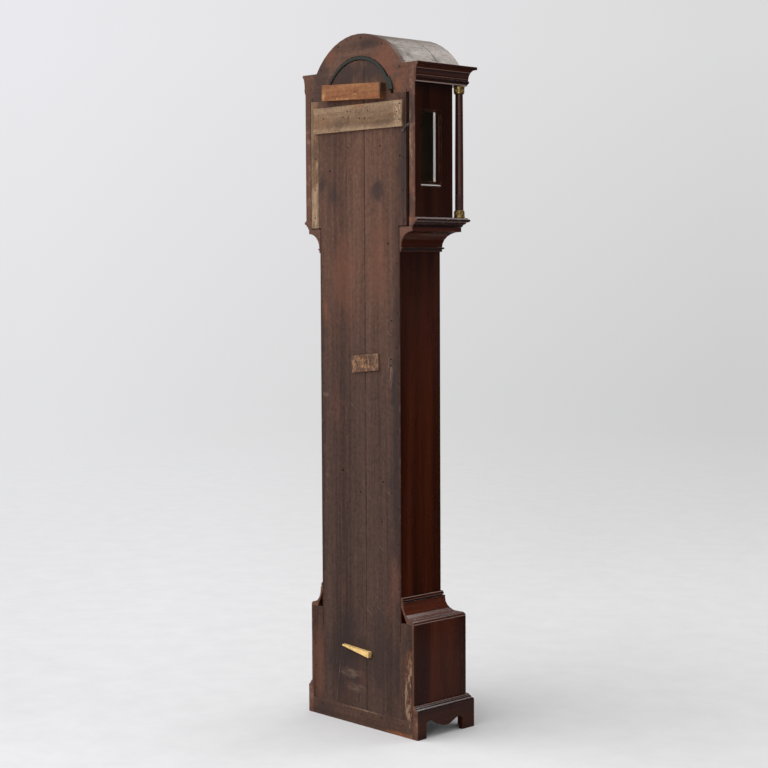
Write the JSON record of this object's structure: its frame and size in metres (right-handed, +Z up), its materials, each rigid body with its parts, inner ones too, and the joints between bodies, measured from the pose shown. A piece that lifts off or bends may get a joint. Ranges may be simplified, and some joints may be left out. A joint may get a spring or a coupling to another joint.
{
  "type": "longcase clock",
  "caption": "Tall mahogany longcase clock with a sliding break-arch hood, glazed door, trunk door, geared movement, pendulum and weight, shown with its plain nailed back.",
  "frame": {"origin": "on the floor, under the middle of the clock's box", "axes": "+Z up; -Y is the front, where the dial faces; +X is to the right of someone who faces the dial"},
  "size_m": [0.532, 0.2842, 2.2],
  "materials": {
    "mahogany": "dark french polish",
    "old_board": "bare aged board",
    "dusty_board": "bare dusty board",
    "oak": "bare",
    "new_pine": "sawn orange pine",
    "grey_pine": "sawn greyed pine",
    "pale_pine": "fresh cut",
    "brass": "satin",
    "silvered": "silvered, satin",
    "blued_steel": "blued",
    "iron": "dull",
    "glass": "clear",
    "gut": "twisted gut"
  },
  "bodies": {
    "case": {"backboard_wide": "old_board", "backboard_narrow": "old_board", "backboard_ear": "old_board", "edge_strip": "grey_pine", "cross_batten": "grey_pine", "top_spacer_block": "new_pine", "mid_spacer_block": "new_pine", "spacer_wedge": "pale_pine", "trunk_side_left": "mahogany", "trunk_side_right": "mahogany", "trunk_front": "mahogany", "upper_cove": "mahogany", "lower_cove": "mahogany", "base_front": "mahogany", "base_side_left": "mahogany", "base_side_right": "mahogany", "base_back_strip_left": "old_board", "base_back_strip_right": "old_board", "base_back_rail": "old_board", "skirting": "mahogany", "seat_board": "oak", "trunk_hinge_upper": "brass", "trunk_hinge_lower": "brass", "back_plate": "brass", "front_plate": "brass", "dial_plate": "brass", "chapter_ring": "silvered", "back_cock": "brass", "going_line": "gut"},
    "hood": {"hood_side_left": "mahogany", "hood_side_right": "mahogany", "hood_window_left": "glass", "hood_window_right": "glass", "hood_rear_arch": "old_board", "hood_roof": "dusty_board", "hood_front": "mahogany", "hood_cornice": "mahogany", "hood_base": "mahogany", "column_left": "mahogany", "column_right": "mahogany"},
    "hood_door": {"hood_door": "mahogany", "hood_door_glass": "glass"},
    "hood_hook": {"hood_hook": "iron"},
    "trunk_door": {"trunk_door": "mahogany", "trunk_lock": "iron"},
    "lock_bolt": {"lock_bolt": "iron"},
    "pendulum": {"pendulum_rod": "iron", "pendulum_bob": "brass"},
    "anchor": {"anchor": "blued_steel"},
    "minute": {"minute_hand": "blued_steel"},
    "hour": {"hour_hand": "blued_steel"},
    "minute_wheel": {"minute_wheel": "brass"},
    "escape": {"escape_wheel": "brass", "seconds_hand": "blued_steel"},
    "third": {"third_wheel": "brass"},
    "centre": {"centre_wheel": "brass"},
    "great": {"great_wheel": "brass"},
    "barrel": {"going_barrel": "brass"},
    "weight": {"going_weight": "iron"},
    "pulley": {"going_pulley": "brass"}
  },
  "joints": [
    {"name": "hood_slide", "type": "slide", "parent": "case", "child": "hood", "axis": [0, -1, 0], "range_m": [0, 0.24]},
    {"name": "hood_door_hinge", "type": "hinge", "parent": "hood", "child": "hood_door", "pos_m": [0.2095, -0.05515, 1.82], "axis": [0, 0, 1], "range_deg": [0, 90]},
    {"name": "hood_hook_pivot", "type": "hinge", "parent": "case", "child": "hood_hook", "pos_m": [-0.2045, 0.12185, 1.886], "axis": [0, -1, 0], "range_deg": [0, 100]},
    {"name": "trunk_door_hinge", "type": "hinge", "parent": "case", "child": "trunk_door", "pos_m": [0.1258, -0.05995, 0.97], "axis": [0, 0, 1], "range_deg": [0, 105]},
    {"name": "lock_bolt_slide", "type": "slide", "parent": "trunk_door", "child": "lock_bolt", "axis": [-1, 0, 0], "range_m": [0, 0.008]},
    {"name": "pendulum_swing", "type": "hinge", "parent": "case", "child": "pendulum", "pos_m": [0, 0.07285, 1.912], "axis": [0, -1, 0], "range_deg": [-2.5, 2.5]},
    {"name": "anchor_rock", "type": "hinge", "parent": "case", "child": "anchor", "pos_m": [0, 0.03685, 1.912], "axis": [0, -1, 0], "range_deg": [-3, 3]},
    {"name": "minute_turn", "type": "hinge", "parent": "case", "child": "minute", "pos_m": [0, -0.03015, 1.829], "axis": [0, -1, 0], "continuous": true},
    {"name": "minute_wheel_turn", "type": "hinge", "parent": "case", "child": "minute_wheel", "pos_m": [-0.039, -0.02015, 1.829], "axis": [0, -1, 0], "continuous": true},
    {"name": "hour_turn", "type": "hinge", "parent": "case", "child": "hour", "pos_m": [0, -0.02515, 1.829], "axis": [0, -1, 0], "continuous": true},
    {"name": "escape_turn", "type": "hinge", "parent": "case", "child": "escape", "pos_m": [0, 0.03685, 1.879], "axis": [0, -1, 0], "continuous": true},
    {"name": "third_turn", "type": "hinge", "parent": "case", "child": "third", "pos_m": [0.01705, 0.01285, 1.85441], "axis": [0, -1, 0], "continuous": true},
    {"name": "centre_turn", "type": "hinge", "parent": "case", "child": "centre", "pos_m": [0, 0.02735, 1.829], "axis": [0, -1, 0], "continuous": true},
    {"name": "great_turn", "type": "hinge", "parent": "case", "child": "great", "pos_m": [0, -0.00515, 1.77492], "axis": [0, -1, 0], "continuous": true},
    {"name": "weight_lift", "type": "slide", "parent": "case", "child": "weight", "axis": [0, 0, 1], "range_m": [0, 0.94], "deforming": ["going_line"]},
    {"name": "barrel_turn", "type": "hinge", "parent": "case", "child": "barrel", "pos_m": [0, 0.01985, 1.77492], "axis": [0, 1, 0], "range_deg": [0, 5600]},
    {"name": "pulley_turn", "type": "hinge", "parent": "weight", "child": "pulley", "pos_m": [0, 0.01985, 0.68], "axis": [0, 1, 0], "range_deg": [0, 2800]}
  ],
  "couplings": [
    {"joint": "anchor_rock", "follows": "pendulum_swing", "ratio": 1},
    {"joint": "minute_wheel_turn", "follows": "minute_turn", "ratio": -1},
    {"joint": "hour_turn", "follows": "minute_turn", "ratio": 0.083333},
    {"joint": "third_turn", "follows": "escape_turn", "ratio": -0.125},
    {"joint": "centre_turn", "follows": "escape_turn", "ratio": 0.016667},
    {"joint": "great_turn", "follows": "escape_turn", "ratio": -0.0013889},
    {"joint": "barrel_turn", "follows": "weight_lift", "rad_per_m": 103.63},
    {"joint": "pulley_turn", "follows": "weight_lift", "rad_per_m": 51.813}
  ]
}
